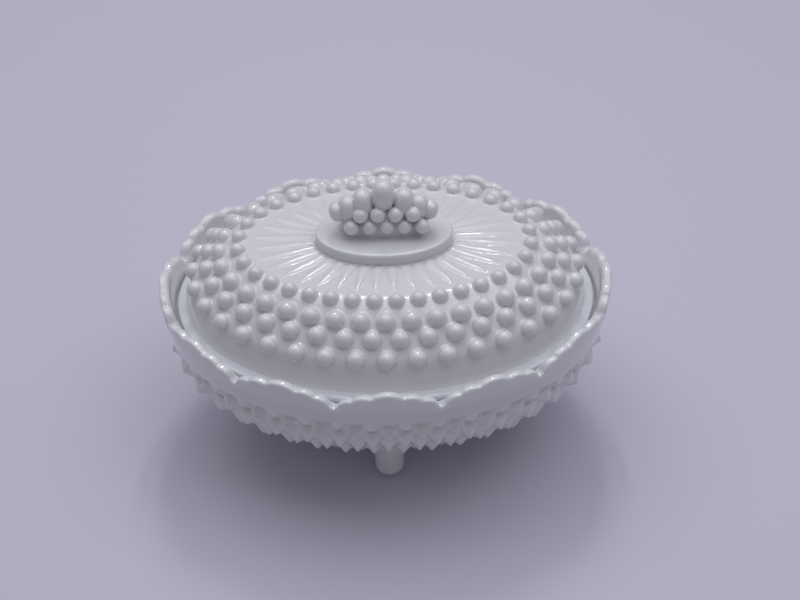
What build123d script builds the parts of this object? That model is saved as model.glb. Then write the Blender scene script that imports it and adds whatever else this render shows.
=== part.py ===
from build123d import *
import os
from math import atan2, cos, hypot, pi, radians, sin

# Oval covered dish of pressed opal glass, in millimetres, +Z up.  The origin is on the table, under
# the middle of the dish, with the long way of the oval along X.  The glass is two loose pressings:
# the dish, with its scalloped rim, pointed bosses and four feet, and the lid, which rests on a ledge
# inside the rim and lifts straight off.

# ---------------------------------------------------------------- driving dimensions
OVAL = 26.0                 # half the length less half the width, the same for most ovals
RIM_OVAL = 23.0             # the same for the rim, which flares out more at the front and the back
OVAL_STEPS = 720            # steps that measure the way round an oval
INTO = 1.0                  # how far a shape that stands on another is let into it
BOSSES = 36                 # bosses in each row, on the lid and on the dish
LOBES = 12                  # scallops round the rim

FLOOR_Z = 21.0              # underside of the bowl
INSIDE_Z = 27.5             # floor of the bowl inside
LEDGE_Z = 76.0              # ledge that the lid rests on
WALL_TOP_Z = 82.0           # lowest part of the rim, between two scallops
HEIGHT = 146.5              # top of the knob

# outer wall of the bowl under its bosses: (height, half width, half the length less half the width)
WALL = [(FLOOR_Z, 40.0, OVAL), (24.0, 49.0, OVAL), (30.0, 57.5, OVAL), (37.0, 63.5, OVAL),
        (44.0, 68.6, OVAL), (51.0, 72.6, OVAL), (58.0, 75.2, OVAL), (64.0, 76.6, OVAL),
        (70.0, 79.2, 25.0), (75.5, 82.2, 24.0), (WALL_TOP_Z, 84.8, RIM_OVAL)]
# inside of the bowl: (height, half width)
BOWL = [(INSIDE_Z, 34.0), (30.0, 43.0), (37.0, 54.5), (44.0, 61.0), (51.0, 65.5), (58.0, 68.0),
        (LEDGE_Z + INTO, 69.0)]
LEDGE_HALF_WIDTH = 79.0     # half width of the recess above the ledge

# pointed bosses of the dish: (height, half width at the points, turn in spacings, downward tilt)
POINT_ROWS = [(66.0, 79.6, 0.5, 0.0), (59.0, 80.3, 0.0, 8.0), (51.6, 78.0, 0.5, 22.0),
              (44.4, 73.6, 0.0, 36.0), (37.4, 67.2, 0.5, 46.0), (31.0, 59.6, 0.0, 55.0)]
POINT_LENGTH = 7.0
POINT_ROOT_RADIUS = 4.6
POINT_TIP_RADIUS = 1.0

# beads of one scallop: (radius, height of the bead's top, places across the lobe from -0.5 to 0.5)
BEADS = [(7.4, 93.0, (0.0,)), (5.4, 91.2, (-0.216, 0.216)), (4.4, 88.6, (-0.35, 0.35))]
BEAD_HALF_WIDTH = 83.5      # half width of the oval that the beads stand on
BEAD_THICKNESS = 5.0

FOOT_RADIUS = 7.3
FOOT_ROUND = 5.6
FOOT_TOP_Z = 27.0
FOOT_PLACES = [(58.0, 0.0), (-58.0, 0.0), (0.0, 44.0), (0.0, -44.0)]

# lid from its flange to its top, outside and inside: (height, half width)
FLANGE = 3.6
FLANGE_HALF_WIDTH = 75.0
FLANGE_ROUND = 1.0
DOME_TOP_Z = 112.6
DOME = [(LEDGE_Z + FLANGE, 71.4), (82.0, 69.6), (87.0, 68.6), (94.3, 65.8), (100.7, 58.8),
        (105.7, 52.2), (110.2, 43.8), (111.9, 35.0), (DOME_TOP_Z, 24.0)]
HOLLOW = [(LEDGE_Z - INTO, 66.0), (84.0, 64.2), (90.0, 61.5), (96.0, 55.5), (101.0, 48.0),
          (105.0, 39.0), (107.5, 29.0), (108.6, 18.0)]

# round bosses of the lid: (height, half width at the centres, radius, turn in spacings)
ROUND_ROWS = [(110.2, 43.8, 3.9, 0.5), (105.5, 51.9, 4.7, 0.0), (100.6, 58.4, 4.5, 0.5),
              (94.7, 65.2, 4.3, 0.0)]

# ribs of the lid, between the disc and the innermost bosses
RIB_INNER_HALF_WIDTH = 19.0
RIB_OUTER_HALF_WIDTH = 33.0
RIB_Z = 111.4
RIB_INNER_RADIUS = 1.6
RIB_OUTER_RADIUS = 2.9

# oval disc under the knob
DISC_LENGTH = 65.2
DISC_WIDTH = 39.8
DISC_TOP_Z = 117.6
DISC_ROUND = 1.6

# knob: a fan of petals, (sideways place, height of the top, radius), with two rows of beads on the
# front and on the back, (height, place to the front, radius, sideways places)
PETALS = [(0.0, HEIGHT, 5.3), (9.5, 141.8, 4.6), (16.5, 137.4, 4.0), (22.0, 133.4, 3.6)]
FAN_ROOT_Z = 116.0
KNOB_BEAD_ROWS = [(130.0, 5.0, 3.7, (-12.0, -4.0, 4.0, 12.0)),
                  (123.8, 6.2, 3.6, (-16.0, -8.0, 0.0, 8.0, 16.0))]
KNOB_CORE = (38.0, 9.0, 14.0)


# ---------------------------------------------------------------- shapes used more than once
def oval_point(half_width, turn, longer=OVAL):
    """A point of an oval and its outward direction in radians, a share of the way round it by
    length, from the middle of the front."""
    half_length = half_width + longer
    lengths = [0.0]
    for i in range(OVAL_STEPS):
        angle = 2 * pi * (i + 0.5) / OVAL_STEPS
        step = hypot(half_length * cos(angle), half_width * sin(angle))
        lengths.append(lengths[-1] + step)
    target = (turn % 1.0) * lengths[-1]
    last = max(i for i in range(OVAL_STEPS) if lengths[i] <= target)
    share = (target - lengths[last]) / (lengths[last + 1] - lengths[last])
    angle = 2 * pi * (last + share) / OVAL_STEPS
    outward = atan2(-half_length * cos(angle), half_width * sin(angle))
    return half_length * sin(angle), -half_width * cos(angle), outward


def outward_plane(half_width, z, turn, tilt=0.0, longer=OVAL):
    """A plane on an oval whose normal points outward, and down by tilt degrees."""
    x, y, outward = oval_point(half_width, turn, longer)
    level = cos(radians(tilt))
    normal = (level * cos(outward), level * sin(outward), -sin(radians(tilt)))
    return Plane(origin=(x, y, z), x_dir=(-sin(outward), cos(outward), 0), z_dir=normal)


def row_planes(half_width, z, offset, tilt=0.0):
    """A plane for each boss of one row, evenly spaced round the oval."""
    return [outward_plane(half_width, z, (i + offset) / BOSSES, tilt) for i in range(BOSSES)]


# ---------------------------------------------------------------- dish
with BuildPart() as dish:
    for z, half_width, longer in WALL:
        with BuildSketch(Plane.XY.offset(z)):
            Ellipse(half_width + longer, half_width)
    loft(ruled=True)

    # feet
    with Locations(*[(x, y, 0) for x, y in FOOT_PLACES]):
        Cylinder(FOOT_RADIUS, FOOT_TOP_Z, align=(Align.CENTER, Align.CENTER, Align.MIN))
    fillet(dish.edges().filter_by(GeomType.CIRCLE).group_by(Axis.Z)[0], FOOT_ROUND)

    # inside of the bowl, and the recess that the lid's flange drops into
    for z, half_width in BOWL:
        with BuildSketch(Plane.XY.offset(z)):
            Ellipse(half_width + OVAL, half_width)
    loft(ruled=True, mode=Mode.SUBTRACT)
    with BuildSketch(Plane.XY.offset(LEDGE_Z)):
        Ellipse(LEDGE_HALF_WIDTH + RIM_OVAL, LEDGE_HALF_WIDTH)
    extrude(amount=HEIGHT - LEDGE_Z, mode=Mode.SUBTRACT)

    # beads of the scalloped rim
    for radius, top, places in BEADS:
        planes = [outward_plane(BEAD_HALF_WIDTH, top - radius, (lobe + place) / LOBES, longer=RIM_OVAL)
                  for lobe in range(LOBES) for place in places]
        with Locations(*planes):
            Cylinder(radius, BEAD_THICKNESS)

    # pointed bosses, their points at the plane and their roots in the wall
    planes = [plane for z, half_width, offset, tilt in POINT_ROWS
              for plane in row_planes(half_width, z, offset, tilt)]
    with Locations(*planes):
        Cone(POINT_ROOT_RADIUS, POINT_TIP_RADIUS, POINT_LENGTH,
             align=(Align.CENTER, Align.CENTER, Align.MAX))

dish.part.label = "dish"

# ---------------------------------------------------------------- lid
with BuildPart() as lid:
    # dome
    for z, half_width in DOME:
        with BuildSketch(Plane.XY.offset(z)):
            Ellipse(half_width + OVAL, half_width)
    loft(ruled=True)

    # flange
    with BuildSketch(Plane.XY.offset(LEDGE_Z)):
        Ellipse(FLANGE_HALF_WIDTH + OVAL, FLANGE_HALF_WIDTH)
    extrude(amount=FLANGE)
    fillet(lid.edges().group_by(Axis.Z)[0], FLANGE_ROUND)

    # disc
    with BuildSketch(Plane.XY.offset(DOME_TOP_Z - INTO)):
        Ellipse(DISC_LENGTH / 2, DISC_WIDTH / 2)
    extrude(amount=DISC_TOP_Z - DOME_TOP_Z + INTO)
    fillet(lid.edges().group_by(Axis.Z)[-1], DISC_ROUND)

    # knob: petals that fan out from one root, a core between them, and beads front and back
    for x, height, radius in PETALS:
        for side in ((1, -1) if x else (1,)):
            root = Vector(0, 0, FAN_ROOT_Z)
            end = Vector(side * x, 0, height - radius)
            with Locations(Plane(origin=root, z_dir=end - root)):
                Cylinder(radius, (end - root).length, align=(Align.CENTER, Align.CENTER, Align.MIN))
            with Locations(end):
                Sphere(radius)
    with Locations((0, 0, DISC_TOP_Z + KNOB_CORE[2] / 2 - INTO)):
        Box(*KNOB_CORE)
    for z, y, radius, places in KNOB_BEAD_ROWS:
        with Locations(*[(x, side * y, z) for x in places for side in (1, -1)]):
            Sphere(radius)

    # hollow under the dome
    for z, half_width in HOLLOW:
        with BuildSketch(Plane.XY.offset(z)):
            Ellipse(half_width + OVAL, half_width)
    loft(ruled=True, mode=Mode.SUBTRACT)

    # ribs, each a cone lying on the dome
    planes = []
    for i in range(BOSSES):
        turn = (i + 0.5) / BOSSES
        inner = Vector(*oval_point(RIB_INNER_HALF_WIDTH, turn)[:2], RIB_Z)
        outer = Vector(*oval_point(RIB_OUTER_HALF_WIDTH, turn)[:2], RIB_Z)
        planes.append(Plane(origin=outer, z_dir=inner - outer))
    with Locations(*planes):
        Cone(RIB_OUTER_RADIUS, RIB_INNER_RADIUS, RIB_OUTER_HALF_WIDTH - RIB_INNER_HALF_WIDTH,
             align=(Align.CENTER, Align.CENTER, Align.MIN))

    # round bosses
    for z, half_width, radius, offset in ROUND_ROWS:
        with Locations(*row_planes(half_width, z, offset)):
            Sphere(radius)

lid.part.label = "lid"

# ---------------------------------------------------------------- files
os.makedirs("parts", exist_ok=True)
export_step(dish.part, "parts/dish.step")
export_step(lid.part, "parts/lid.step")
for piece in (dish.part, lid.part):
    print(piece.label, round(piece.volume), piece.is_valid, len(piece.solids()))
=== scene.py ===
from math import cos, pi, radians, sin

import bpy
import numpy as np
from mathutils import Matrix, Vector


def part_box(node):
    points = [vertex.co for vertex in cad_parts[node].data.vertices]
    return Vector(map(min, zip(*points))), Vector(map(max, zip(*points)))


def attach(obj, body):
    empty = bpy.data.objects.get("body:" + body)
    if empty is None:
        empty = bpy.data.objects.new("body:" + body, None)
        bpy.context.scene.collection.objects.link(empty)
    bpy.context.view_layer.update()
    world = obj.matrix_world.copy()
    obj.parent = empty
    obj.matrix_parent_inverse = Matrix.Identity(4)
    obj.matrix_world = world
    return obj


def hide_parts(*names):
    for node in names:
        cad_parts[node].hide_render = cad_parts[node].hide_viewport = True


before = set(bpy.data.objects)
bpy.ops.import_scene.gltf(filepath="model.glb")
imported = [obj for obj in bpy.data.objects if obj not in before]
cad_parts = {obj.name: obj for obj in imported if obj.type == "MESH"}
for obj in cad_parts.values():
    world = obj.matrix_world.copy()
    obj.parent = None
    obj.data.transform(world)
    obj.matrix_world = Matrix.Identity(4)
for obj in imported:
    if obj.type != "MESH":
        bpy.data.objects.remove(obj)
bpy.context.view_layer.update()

import openvdb
from mathutils import Euler, Matrix, Vector

# Oval covered dish of pressed opal glass.  Each of its two loose pressings is modelled as a signed
# distance (negative inside the glass, in millimetres), turned into one closed mesh and shaded with
# the distance's own normals.  A point is placed by its height, by the oval through it, given as half
# the oval's width, and by its turn: the share of the way round, by length, from the front's middle.

MM = 0.001

# ---------------------------------------------------------------- sizes from the frame
DISH_LOW, DISH_HIGH = [Vector(corner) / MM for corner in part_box("dish")]
LID_LOW, LID_HIGH = [Vector(corner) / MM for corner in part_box("lid")]
OVAL = LID_HIGH.x - LID_HIGH.y            # half length less half width, the same for every oval
TABLE_Z = DISH_LOW.z
LEDGE_Z = LID_LOW.z                       # ledge that the lid rests on
TOP_Z = LID_HIGH.z                        # top of the knob
RIM_TOP_Z = DISH_HIGH.z
RIM = DISH_HIGH.x - OVAL                  # half width of the oval through the rim's two ends
RIM_FLARE = DISH_HIGH.y - RIM             # how far the rim stands outside it in front and behind
LID_EDGE = LID_HIGH.y                     # half width of the lid's flange
PAST_MIDDLE = -10.0                       # half width at which outlines close, past the oval's middle

# ---------------------------------------------------------------- sizes of the dish
BOSSES = 36                               # bosses in each row
LOBES = 12                                # scallops of the rim
# outside of the wall, at the points of its bosses: (row of bosses, half width, height)
WALL = [(-2.0, RIM - 0.1, LEDGE_Z + 18.0), (-1.0, RIM - 0.5, LEDGE_Z + 7.0),
        (0.0, RIM - 2.0, LEDGE_Z - 3.0), (1.0, RIM - 2.9, LEDGE_Z - 10.5),
        (2.0, RIM - 2.1, LEDGE_Z - 16.6), (3.0, RIM - 4.4, LEDGE_Z - 24.6),
        (4.0, RIM - 9.0, LEDGE_Z - 31.9), (5.0, RIM - 14.6, LEDGE_Z - 39.1),
        (6.0, RIM - 23.0, LEDGE_Z - 45.0), (7.0, RIM - 31.8, LEDGE_Z - 50.0)]
FLOOR_Z = LEDGE_Z - 55.0                  # underside of the bowl
FLOOR_HALF_WIDTH = RIM - 41.8
# depth of the hollows between the points, at each row
HOLLOW_ROWS = [0.45, 0.8, 2.0, 3.0, 4.0, 5.0, 6.0, 7.0]
HOLLOW_DEPTHS = [0.0, 5.2, 5.2, 4.8, 4.2, 4.2, 3.6, 0.0]
TOP_ROW = (0.6, 1.6)                      # rows between which the hollows widen to their full size
TOP_ROW_POWER = 2.4                       # above 1 for the narrower hollows of the topmost row
HOLLOW_RISE = 0.38                        # how far each is drawn up under the point above it, in rows
POINT_SECTION = 1.5                       # 1 for points of square section, 2 for round ones
RIDGE_ROWS = (1.0, 3.5)                   # rows between which the ridges sharpen,
RIDGE_ROUND = (0.3, 0.06)                 # and how round they are at those rows
HOLLOW_BOW = 0.5                          # 0 for straight sides to the hollows, 0.5 for round floors
# inside of the bowl: (half width, height)
BOWL = [(RIM - 48.8, LEDGE_Z - 48.5), (RIM - 37.8, LEDGE_Z - 45.6), (RIM - 27.4, LEDGE_Z - 39.0),
        (RIM - 20.6, LEDGE_Z - 32.0), (RIM - 16.2, LEDGE_Z - 25.0), (RIM - 13.7, LEDGE_Z - 18.0),
        (RIM - 13.1, LEDGE_Z)]
# inside of the rim above the ledge, which leans out: (half width, height)
RECESS = [(LID_EDGE + 0.9, LEDGE_Z), (LID_EDGE + 1.3, LEDGE_Z + 3.5), (LID_EDGE + 2.7, LEDGE_Z + 9.0),
          (LID_EDGE + 3.4, LEDGE_Z + 18.0)]
FLARE_START_Z, FLARE_END_Z = LEDGE_Z - 10.0, LEDGE_Z + 8.0
CROWDING = 0.05                           # how much closer bosses stand in front and behind than average
NOTCH_Z = RIM_TOP_Z - 11.6                # the rim between two scallops
LOBE_HEIGHT = 9.0                         # of the arch that the beads stand on
LOBE_POWER = 0.8                          # below 1 for a fuller arch than a cosine
# beads of one scallop: (radius, depth of the top below the rim's, place across the scallop)
BEADS = [(11.0, 0.8, 0.0), (7.5, 2.9, 0.216), (6.0, 5.3, 0.35)]
RIM_ROUND = 1.3                           # of the rim's outer edge
INNER_ROUND = 2.2                         # of its inner edge
FOOT_RADIUS = 7.3
FOOT_ROUND = 5.6
FOOT_TOP_Z = FLOOR_Z + 5.0
FOOT_FILLET = 2.5
# where the feet stand
FEET = [(58.0, 0.0), (-58.0, 0.0), (0.0, 44.0), (0.0, -44.0)]

# ---------------------------------------------------------------- sizes of the lid
FLANGE = 3.4                              # thickness
FLANGE_ROUND = 1.4
# outside of the dome, and its underside: (half width, height)
DOME = [(LID_EDGE - 4.2, LEDGE_Z + FLANGE), (LID_EDGE - 5.6, LEDGE_Z + 5.6),
        (LID_EDGE - 6.7, LEDGE_Z + 11.0), (LID_EDGE - 9.2, LEDGE_Z + 18.3),
        (LID_EDGE - 16.2, LEDGE_Z + 24.7), (LID_EDGE - 22.8, LEDGE_Z + 29.7),
        (LID_EDGE - 31.2, LEDGE_Z + 34.6), (LID_EDGE - 40.0, LEDGE_Z + 35.3),
        (LID_EDGE - 51.0, LEDGE_Z + 35.5), (PAST_MIDDLE, LEDGE_Z + 35.6)]
UNDER = [(LID_EDGE - 9.0, LEDGE_Z - 1.0), (LID_EDGE - 10.0, LEDGE_Z + 5.0),
         (LID_EDGE - 12.0, LEDGE_Z + 12.0), (LID_EDGE - 17.5, LEDGE_Z + 19.5),
         (LID_EDGE - 26.0, LEDGE_Z + 25.0), (LID_EDGE - 36.0, LEDGE_Z + 28.9),
         (LID_EDGE - 48.0, LEDGE_Z + 30.8), (PAST_MIDDLE, LEDGE_Z + 31.2)]
# round bosses: (half width and height of the centres, radius, turn in spacings)
ROUND_ROWS = [(43.5, LEDGE_Z + 35.1, 3.6, 0.5), (52.2, LEDGE_Z + 30.1, 4.4, 0.0),
              (58.8, LEDGE_Z + 25.1, 4.3, 0.5), (65.8, LEDGE_Z + 19.0, 4.2, 0.0)]
BOSS_FILLET = 0.8
RIB_TIP = 37.2                            # half width at the ribs' pointed outer ends
RIB_NARROWS = 21.0                        # half width where they start to narrow
RIB_HEIGHT = 0.9
RIB_HEAD = 1.6                            # length of the ribs' rounded inner ends
RIB_POINTING, RIB_FADING = 0.7, 0.4       # how late the ribs narrow and flatten: 1 evenly, 0 at the tip
RIB_BOW = 2.2                             # bow of a rib's section, 2 for a parabola
DOME_CAP_Z = LEDGE_Z + 30.0               # ribs, disc and knob are above it
DISC = (32.6, 19.9)                       # half sizes
DISC_TOP_Z = LEDGE_Z + 41.6
DISC_ROUND = 1.5
DISC_FILLET = 0.6
# petals of the knob: (place along X, centre's height, half sizes, lean in degrees)
PETALS = [(0.0, TOP_Z - 8.5, (5.4, 6.0, 7.8), 0.0), (9.5, TOP_Z - 12.6, (4.8, 5.7, 7.0), 5.0),
          (16.2, TOP_Z - 15.7, (4.4, 5.4, 6.3), 9.0), (21.6, TOP_Z - 17.4, (3.9, 4.8, 4.7), 12.0)]
PETAL_POWER = 2.25                        # above 2 for petals that are squarer than an ellipsoid
# balls of the knob, in front and behind: (height, distance from the middle, radius, places along X)
BALL_ROWS = [(TOP_Z - 16.4, 5.0, 3.7, (-12.2, -4.1, 4.1, 12.2)),
             (TOP_Z - 22.5, 6.2, 3.6, (-16.4, -8.2, 0.0, 8.2, 16.4))]
BALL_SHIFT = 1.4                          # the front balls stand this far to the right
KNOB_CORE = (20.5, 6.4, 12.5)             # half sizes of the glass behind the balls
KNOB_CORE_Z = TOP_Z - 26.0
BEAD_FILLET = 0.5                         # between the beads of the rim, and of the knob
KNOB_FILLET = 0.7                         # between the knob and its disc
UNDER_ROUND = 0.6                         # of the edge of the lid's hollow


# ---------------------------------------------------------------- the oval
ANGLES = np.linspace(0.0, 2 * pi, 1441)
HALF_WIDTHS = np.linspace(0.5, 120.0, 240)
WIDEST = 160.0                            # half width past the corners of both pieces' boxes
HALVINGS = 26                             # steps that find the oval through a point


def measure_ovals():
    """Length of each oval in HALF_WIDTHS, and the share of it passed at each of ANGLES."""
    middle = (ANGLES[1:] + ANGLES[:-1]) / 2
    wide = HALF_WIDTHS[:, None]
    steps = np.hypot((wide + OVAL) * np.cos(middle), wide * np.sin(middle)) * (ANGLES[1] - ANGLES[0])
    passed = np.concatenate([np.zeros((len(wide), 1)), np.cumsum(steps, axis=1)], axis=1)
    return passed[:, -1], passed / passed[:, -1:]


LENGTHS, SHARES = measure_ovals()


def look_up(table, first, first_axis, second, second_axis):
    """Reads a table between its entries, at places given along its two evenly spaced axes."""
    row = (first - first_axis[0]) / (first_axis[1] - first_axis[0])
    column = (second - second_axis[0]) / (second_axis[1] - second_axis[0])
    row = np.clip(row, 0, len(first_axis) - 1.001)
    column = np.clip(column, 0, len(second_axis) - 1.001)
    i, j = row.astype(int), column.astype(int)
    row, column = row - i, column - j
    low = table[i, j] * (1 - column) + table[i, j + 1] * column
    high = table[i + 1, j] * (1 - column) + table[i + 1, j + 1] * column
    return low * (1 - row) + high * row


def around(x, y):
    """The oval through each point: its half width, and the point's turn."""
    low, high = np.zeros_like(x), np.full_like(x, WIDEST)
    for _ in range(HALVINGS):
        middle = (low + high) / 2
        outside = (x / (middle + OVAL)) ** 2 + (y / middle) ** 2 > 1
        low, high = np.where(outside, middle, low), np.where(outside, high, middle)
    half_width = (low + high) / 2
    angle = np.arctan2(x / (half_width + OVAL), -y / half_width) % (2 * pi)
    return half_width, look_up(SHARES, half_width, HALF_WIDTHS, angle, ANGLES)


def place(half_width, turns):
    """Points of an oval at the turns given."""
    shares = look_up(SHARES, np.full(len(ANGLES), half_width), HALF_WIDTHS, ANGLES, ANGLES)
    angle = np.interp(turns, shares, ANGLES)
    return (half_width + OVAL) * np.sin(angle), -half_width * np.cos(angle)


# ---------------------------------------------------------------- outlines across the oval
CELL = 0.35
ACROSS = np.arange(-12.0, 116.0, CELL)    # half widths of the tables
UP = np.arange(-6.0, 156.0, CELL)         # heights of the tables
CURVE_STEP = 0.4                          # between the points of a smooth curve


def smooth(points):
    """A smooth curve through the points, which may have more than two coordinates."""
    points = np.array(points, float)
    ends = np.vstack([2 * points[0] - points[1], points, 2 * points[-1] - points[-2]])
    curve = []
    # Catmull-Rom, from each point b to the next, c
    for a, b, c, d in zip(ends, ends[1:], ends[2:], ends[3:]):
        count = max(2, int(np.linalg.norm((c - b)[-2:]) / CURVE_STEP))
        t = np.linspace(0, 1, count, endpoint=False)[:, None]
        bend = 2 * a - 5 * b + 4 * c - d
        curve.append(b + 0.5 * t * (c - a + t * (bend + t * (3 * (b - c) + d - a))))
    return np.vstack(curve + [points[-1:]])


def inside_of(outline):
    """Signed distance of every cell of ACROSS and UP from a closed outline."""
    start_x, start_z = outline.T
    run_x, run_z = np.roll(outline, -1, axis=0).T - outline.T
    length = np.maximum(run_x ** 2 + run_z ** 2, 1e-9)
    distance = np.empty((len(ACROSS), len(UP)))
    gap_x = ACROSS[:, None] - start_x
    for j, height in enumerate(UP):
        gap_z = height - start_z
        share = np.clip((gap_x * run_x + gap_z * run_z) / length, 0, 1)
        nearest = np.sqrt(((gap_x - share * run_x) ** 2 + (gap_z - share * run_z) ** 2).min(axis=1))
        crosses = (start_z > height) != (start_z + run_z > height)
        at = start_x[crosses] + gap_z[crosses] / run_z[crosses] * run_x[crosses]
        odd = np.searchsorted(np.sort(at), ACROSS) % 2 == 1
        distance[:, j] = np.where(odd, -nearest, nearest)
    return distance


def section(table, half_width, z):
    return look_up(table, half_width, ACROSS, np.broadcast_to(z, half_width.shape), UP)


# ---------------------------------------------------------------- joining shapes
def join(a, b, soft):
    """Both shapes, with a fillet of about the size soft between them."""
    share = np.clip(0.5 + 0.5 * (b - a) / soft, 0, 1)
    return b * (1 - share) + a * share - soft * share * (1 - share)


def cut(a, b, soft):
    """The first shape without the second, with its new edges rounded."""
    return -join(-a, b, soft)


def rounded(side, end, radius):
    """The overlap of two distances, with their edge rounded to the radius."""
    side, end = side + radius, end + radius
    return np.minimum(np.maximum(side, end), 0) + np.hypot(np.maximum(side, 0), np.maximum(end, 0)) - radius


def ellipsoid(x, y, z, sizes, power=2.0):
    """An ellipsoid, or with a higher power a squarer shape of the same half sizes."""
    shares = [abs(value) / size + 1e-4 for value, size in zip((x, y, z), sizes)]
    near = sum(share ** power for share in shares) ** (1 / power)
    slopes = [(share / near) ** (power - 1) / size for share, size in zip(shares, sizes)]
    return (near - 1) / np.sqrt(sum(slope ** 2 for slope in slopes))


# ---------------------------------------------------------------- dish
WALL_CURVE = smooth(WALL)


def wall_rows():
    """Row number of the boss lattice nearest each cell of ACROSS and UP."""
    rows = np.empty((len(ACROSS), len(UP)))
    for j, height in enumerate(UP):
        gap = (ACROSS[:, None] - WALL_CURVE[:, 1]) ** 2 + (height - WALL_CURVE[:, 2]) ** 2
        rows[:, j] = WALL_CURVE[gap.argmin(axis=1), 0]
    return rows


DISH_OUTSIDE = inside_of(np.vstack([WALL_CURVE[:, 1:],
                                    [(FLOOR_HALF_WIDTH, FLOOR_Z), (PAST_MIDDLE, FLOOR_Z),
                                     (PAST_MIDDLE, WALL[0][2])]]))
DISH_ROWS = wall_rows()
DISH_INSIDE = inside_of(np.vstack([[(PAST_MIDDLE, UP[-1]), (PAST_MIDDLE, BOWL[0][1])], smooth(BOWL),
                                   smooth(RECESS), [(RECESS[-1][0], UP[-1])]]))
LOBE_LENGTH = np.interp(RIM, HALF_WIDTHS, LENGTHS) / LOBES


def hollow(across, row):
    """Depth of the lattice of hollows: 0 at a point, 1 midway between four points, and less on the
    ridges that join them."""
    total = 0
    soft = np.interp(row, RIDGE_ROWS, RIDGE_ROUND)
    for value in (across + row / 2, across - row / 2):
        gap = np.hypot(1 - abs(2 * (value % 1.0) - 1), soft) - soft
        total = total + (gap * (1 - HOLLOW_BOW * gap) / (1 - HOLLOW_BOW)) ** POINT_SECTION
    return (total / 2) ** (1 / POINT_SECTION)


def dish_shape(x, y, z, half_width, turn):
    # the rim flares more in front and behind than at its ends
    flare = np.clip((z - FLARE_START_Z) / (FLARE_END_Z - FLARE_START_Z), 0, 1)
    half_width = half_width - RIM_FLARE * flare ** 2 * (3 - 2 * flare) * np.cos(2 * pi * turn) ** 2
    turn = turn + CROWDING * np.sin(4 * pi * turn) / (4 * pi)
    body = section(DISH_OUTSIDE, half_width, z)

    # hollows pressed between the points, with no ridges above the topmost row
    row = section(DISH_ROWS, half_width, z)
    depth = np.interp(row, HOLLOW_ROWS, HOLLOW_DEPTHS)
    across = BOSSES * turn
    lower = np.maximum(row, 1.0)
    lower = lower + HOLLOW_RISE * hollow(across, lower)
    power = np.interp(row, TOP_ROW, (TOP_ROW_POWER, 1.0))
    body = body + depth * hollow(across, lower) ** power

    # rim
    across = abs((LOBES * turn + 0.5) % 1.0 - 0.5)
    edge = z - NOTCH_Z - LOBE_HEIGHT * np.cos(pi * across) ** LOBE_POWER
    for radius, drop, place_across in BEADS:
        aside = (across - place_across) * LOBE_LENGTH
        bead = np.hypot(aside, z - (RIM_TOP_Z - drop - radius)) - radius
        edge = join(edge, bead, BEAD_FILLET)
    body = rounded(body, edge, RIM_ROUND)

    # feet
    for foot_x, foot_y in FEET:
        foot = rounded(np.hypot(x - foot_x, y - foot_y) - FOOT_RADIUS, TABLE_Z - z, FOOT_ROUND)
        body = join(body, np.maximum(foot, z - FOOT_TOP_Z), FOOT_FILLET)
    return rounded(body, -section(DISH_INSIDE, half_width, z), INNER_ROUND)


# ---------------------------------------------------------------- lid
FLANGE_EDGE = [(LID_EDGE - FLANGE_ROUND * (1 - cos(t)),
                LEDGE_Z + FLANGE / 2 + np.sign(t) * (FLANGE / 2 - FLANGE_ROUND) + FLANGE_ROUND * sin(t))
               for t in np.linspace(-pi / 2, pi / 2, 12)]
LID_OUTSIDE = inside_of(np.vstack([[(PAST_MIDDLE, LEDGE_Z)], FLANGE_EDGE, smooth(DOME)]))
LID_INSIDE = inside_of(np.vstack([[(PAST_MIDDLE, UNDER[0][1])], smooth(UNDER)]))


def nearest_of(half_width, turns, turn):
    """The nearest of some places on an oval, for every turn given."""
    turns = np.sort(turns % 1.0)
    first = (turns[0] + turns[-1] - 1) / 2
    index = np.searchsorted(np.concatenate([[first], (turns[1:] + turns[:-1]) / 2]), turn) - 1
    index = np.where(turn > first + 1, 0, index)
    places_x, places_y = place(half_width, turns)
    return places_x[index], places_y[index]


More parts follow.
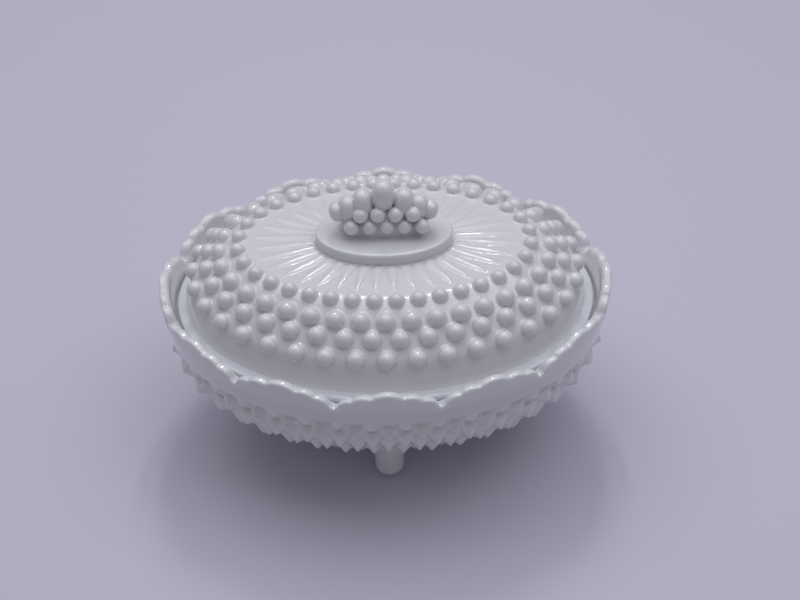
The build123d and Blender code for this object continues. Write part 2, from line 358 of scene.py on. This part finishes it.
def lid_shape(x, y, z, half_width, turn):
    body = section(LID_OUTSIDE, half_width, z)

    # disc
    near = np.hypot(x / DISC[0], y / DISC[1]) + 1e-6
    side = near * (near - 1) / (np.hypot(x / DISC[0] ** 2, y / DISC[1] ** 2) + 1e-6)
    disc = np.maximum(rounded(side, z - DISC_TOP_Z, DISC_ROUND), DOME_CAP_Z - z)

    # ribs, from the disc to the innermost bosses
    spacing = np.interp(half_width, HALF_WIDTHS, LENGTHS) / BOSSES
    aside = ((BOSSES * turn) % 1.0 - 0.5) * spacing
    narrow = np.clip((RIB_TIP - half_width) / (RIB_TIP - RIB_NARROWS), 0, 1)
    reach = spacing / 2 * narrow ** RIB_POINTING + 1e-3
    head = np.sqrt(np.clip(side / RIB_HEAD, 0, 1))
    bow = 1 - np.clip(abs(aside) / reach, 0, 1) ** RIB_BOW
    height = RIB_HEIGHT * head * narrow ** RIB_FADING * bow
    body = body - np.where(z > DOME_CAP_Z, height, 0)

    # round bosses
    for row_half_width, row_z, radius, offset in ROUND_ROWS:
        boss_x, boss_y = nearest_of(row_half_width, (np.arange(BOSSES) + offset) / BOSSES, turn)
        boss = np.sqrt((x - boss_x) ** 2 + (y - boss_y) ** 2 + (z - row_z) ** 2) - radius
        body = join(body, boss, BOSS_FILLET)
    body = join(body, disc, DISC_FILLET)

    # knob
    knob = ellipsoid(x, y, z - KNOB_CORE_Z, KNOB_CORE)
    for row_z, row_y, radius, places in BALL_ROWS:
        for ball_x in places:
            gap_x = x + np.where(y > 0, BALL_SHIFT, -BALL_SHIFT) - ball_x
            ball = np.sqrt(gap_x ** 2 + (abs(y) - row_y) ** 2 + (z - row_z) ** 2) - radius
            knob = join(knob, ball, BEAD_FILLET)
    for petal_x, petal_z, sizes, lean in PETALS:
        across, up = abs(x) - petal_x, z - petal_z
        turned = (across * cos(radians(lean)) - up * sin(radians(lean)),
                  across * sin(radians(lean)) + up * cos(radians(lean)))
        knob = join(knob, ellipsoid(turned[0], y, turned[1], sizes, PETAL_POWER), BEAD_FILLET)
    knob = np.maximum(knob, DOME_CAP_Z - z)
    body = join(body, knob, KNOB_FILLET)
    return cut(body, section(LID_INSIDE, half_width, z), UNDER_ROUND)


# ---------------------------------------------------------------- from shape to mesh
STEP = 0.8         # of the grid that a shape is read on
MARGIN = 3 * STEP                         # of the grid round the piece's box
BAND = 4 * STEP                           # distance that the grid keeps on both sides of the surface
TRIANGLES = 190000                        # of each piece, about
SETTLE_PASSES = 2
SETTLE_REACH, SETTLE_MOST = 0.15, 0.3     # reach of the slopes that corners move by, and the longest move
FLATTEST = 0.2                            # least squared slope that a move is worked out from
NORMAL_REACH = 0.25
GLOW_DEPTH = 2.4                          # glass thinner than this gets the painted glow, a lighter bluish colour standing in for light showing through it


def sculpt(name, shape, low, high):
    """A closed mesh of a shape between two corners of a box, thinned to TRIANGLES."""
    low = [value - MARGIN for value in low]
    axes = [np.arange(low[i], high[i] + MARGIN, STEP) for i in range(3)]
    x, y = np.meshgrid(axes[0], axes[1], indexing="ij")
    half_width, turn = around(x, y)
    values = np.empty([len(axis) for axis in axes], np.float32)
    for k, z in enumerate(axes[2]):
        values[:, :, k] = shape(x, y, z, half_width, turn)
    grid = openvdb.FloatGrid(BAND)
    grid.copyFromArray(np.clip(values, -BAND, BAND))
    corners, _, quads = grid.convertToPolygons()
    mesh = bpy.data.meshes.new(name)
    mesh.vertices.add(len(corners))
    mesh.vertices.foreach_set("co", ((corners * STEP + low) * MM).ravel())
    mesh.loops.add(4 * len(quads))
    mesh.loops.foreach_set("vertex_index", quads.ravel())
    mesh.polygons.add(len(quads))
    mesh.polygons.foreach_set("loop_start", np.arange(len(quads)) * 4)
    mesh.update(calc_edges=True)
    mesh.validate()

    piece = bpy.data.objects.new(name, mesh)
    bpy.context.scene.collection.objects.link(piece)
    fewer = piece.modifiers.new("fewer", "DECIMATE")
    fewer.ratio = min(1.0, TRIANGLES / (2 * len(quads)))
    ready = piece.evaluated_get(bpy.context.evaluated_depsgraph_get())
    piece.modifiers.clear()
    piece.data = bpy.data.meshes.new_from_object(ready)
    return piece


def settle(piece, shape):
    """Lays the mesh's corners on the shape, and takes their normals and the glass's thinness from it; the
    thinness marks where a glow of light showing through the glass is painted.
    """
    mesh = piece.data
    points = np.empty(3 * len(mesh.vertices))
    mesh.vertices.foreach_get("co", points)
    points = points.reshape(-1, 3) / MM

    def at(spots):
        return shape(*spots.T, *around(spots[:, 0], spots[:, 1]))

    def slope(spots, reach):
        return np.stack([at(spots + reach * axis) - at(spots - reach * axis) for axis in np.eye(3)],
                        axis=1) / (2 * reach)

    for _ in range(SETTLE_PASSES):
        gradient = slope(points, SETTLE_REACH)
        steepness = np.maximum((gradient ** 2).sum(1), FLATTEST)
        move = -(at(points) / steepness)[:, None] * gradient
        points += np.clip(move, -SETTLE_MOST, SETTLE_MOST)
    normals = slope(points, NORMAL_REACH)
    normals /= np.linalg.norm(normals, axis=1)[:, None]
    mesh.vertices.foreach_set("co", (points * MM).ravel())
    mesh.update()
    mesh.polygons.foreach_set("use_smooth", np.ones(len(mesh.polygons), bool))
    mesh.normals_split_custom_set_from_vertices(normals)
    # how thinly the glass lies under each corner: where it is thinner, a glow of light showing through it
    # is painted into the colour
    depth = at(points - GLOW_DEPTH * normals)
    thin_glow = mesh.attributes.new("thin_glow", "FLOAT", "POINT")
    thin_glow.data.foreach_set("value", np.clip(1 + depth / GLOW_DEPTH, 0, 1))


# ---------------------------------------------------------------- glass
# the glass's own colour, then a lighter, bluer colour painted where the glass is thinner, as a glow of
# light showing through it
THICK_COLOUR = (0.745, 0.74, 0.765, 1)
THIN_GLOW_COLOUR = (0.75, 0.83, 0.88, 1)
ROUGHNESS = (0.08, 0.18)
# slow waves from the mould, and the fine ripple of its skin: (scale, strength, height in metres)
WAVES = [(90, 0.10, 0.0006), (640, 0.25, 0.0002)]


def opal_glass(name):
    """Glossy white opal glass: light gets into it a little, a lighter bluish glow of light showing through
    is painted on its thinner edges, and its skin has waves.
    """
    material = bpy.data.materials.new(name)
    material.use_nodes = True
    nodes, links = material.node_tree.nodes, material.node_tree.links
    shader = nodes["Principled BSDF"]
    shader.inputs["IOR"].default_value = 1.5
    shader.inputs["Subsurface Weight"].default_value = 0.12
    shader.inputs["Subsurface Radius"].default_value = (0.9, 1.0, 1.15)
    shader.inputs["Subsurface Scale"].default_value = 0.002
    shader.inputs["Coat Weight"].default_value = 0.6
    shader.inputs["Coat Roughness"].default_value = 0.03

    # painted glow: where the glass is thinner its colour is mixed towards a lighter blue, standing in for
    # light showing through it
    thin_glow = nodes.new("ShaderNodeAttribute")
    thin_glow.attribute_name = "thin_glow"
    colour = nodes.new("ShaderNodeMix")
    colour.data_type = "RGBA"
    share, thick_colour, thin_glow_colour = colour.inputs[0], colour.inputs[6], colour.inputs[7]
    thick_colour.default_value = THICK_COLOUR
    thin_glow_colour.default_value = THIN_GLOW_COLOUR
    links.new(thin_glow.outputs["Fac"], share)
    links.new(colour.outputs[2], shader.inputs["Base Color"])

    where = nodes.new("ShaderNodeTexCoord")
    normal = None
    for scale, strength, distance in WAVES:
        waves = nodes.new("ShaderNodeTexNoise")
        waves.inputs["Scale"].default_value = scale
        waves.inputs["Detail"].default_value = 3
        links.new(where.outputs["Object"], waves.inputs["Vector"])
        bump = nodes.new("ShaderNodeBump")
        bump.inputs["Strength"].default_value = strength
        bump.inputs["Distance"].default_value = distance
        links.new(waves.outputs["Fac"], bump.inputs["Height"])
        if normal:
            links.new(normal, bump.inputs["Normal"])
        normal = bump.outputs["Normal"]
    links.new(normal, shader.inputs["Normal"])
    gloss = nodes.new("ShaderNodeMapRange")
    gloss.inputs["To Min"].default_value, gloss.inputs["To Max"].default_value = ROUGHNESS
    links.new(waves.outputs["Fac"], gloss.inputs["Value"])
    links.new(gloss.outputs["Result"], shader.inputs["Roughness"])
    return material


def glass_piece(name, shape, low, high, body):
    piece = sculpt(name, shape, low, high)
    settle(piece, shape)
    piece.data.materials.clear()
    piece.data.materials.append(opal_glass(name))
    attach(piece, body)
    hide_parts(body)


glass_piece("dish_glass", dish_shape, DISH_LOW, DISH_HIGH, "dish")
glass_piece("lid_glass", lid_shape, LID_LOW, LID_HIGH, "lid")


# ---------------------------------------------------------------- studio
def plain_material(name, colour, roughness):
    material = bpy.data.materials.new(name)
    material.use_nodes = True
    shader = material.node_tree.nodes["Principled BSDF"]
    shader.inputs["Base Color"].default_value = colour
    shader.inputs["Roughness"].default_value = roughness
    return material


bpy.ops.mesh.primitive_plane_add(size=6.0, location=(0, 0, TABLE_Z * MM))
floor = bpy.context.object
floor.name = "floor"
floor.data.materials.append(plain_material("floor", (0.60, 0.585, 0.69, 1), 0.6))


def soft_light(name, position, aim, size, power, colour):
    data = bpy.data.lights.new(name, "AREA")
    data.shape = "RECTANGLE"
    data.size, data.size_y = size
    data.energy = power
    data.color = colour
    light = bpy.data.objects.new(name, data)
    bpy.context.scene.collection.objects.link(light)
    light.location = position
    light.rotation_euler = (Vector(aim) - Vector(position)).to_track_quat("-Z", "Y").to_euler()


soft_light("sky", (0.05, 0.14, 1.3), (0, 0, 0), (2.2, 1.0), 10.2, (0.945, 0.925, 1.0))
# two narrow lights behind, for the streaks on the bosses
for name, x in (("window_left", -0.03), ("window_right", 0.13)):
    soft_light(name, (x, 0.75, 1.35), (0, 0, 0.1), (0.045, 0.40), 1.6, (0.97, 0.97, 1.0))
world = bpy.data.worlds.new("world")
bpy.context.scene.world = world
world.use_nodes = True
background = world.node_tree.nodes["Background"]
background.inputs["Color"].default_value = (0.80, 0.80, 0.85, 1)
background.inputs["Strength"].default_value = 0.30
bpy.context.scene.view_settings.view_transform = "Standard"

# ---------------------------------------------------------------- camera
AZIMUTH, ELEVATION, ROLL = radians(0.3), radians(39.86), radians(1.5)
LENS, SENSOR = 67.7, 36.0
LOOKS_ROUND = Vector((0, 0, (LEDGE_Z + 19.0) * MM))
DISTANCE = 0.722                                      # from that point
AIM_RIGHT, AIM_DOWN = radians(0.57), radians(1.28)    # how far off that point it aims
back = Vector((sin(AZIMUTH) * cos(ELEVATION), -cos(AZIMUTH) * cos(ELEVATION), sin(ELEVATION)))
optics = bpy.data.cameras.new("camera")
optics.lens, optics.sensor_width = LENS, SENSOR
camera = bpy.data.objects.new("camera", optics)
bpy.context.scene.collection.objects.link(camera)
look = (-back).to_track_quat("-Z", "Y").to_matrix().to_4x4()
camera.matrix_world = (Matrix.Translation(LOOKS_ROUND + DISTANCE * back)
                       @ look @ Matrix.Rotation(-ROLL, 4, "Z")
                       @ Euler((-AIM_DOWN, -AIM_RIGHT, 0)).to_matrix().to_4x4())
bpy.context.scene.camera = camera
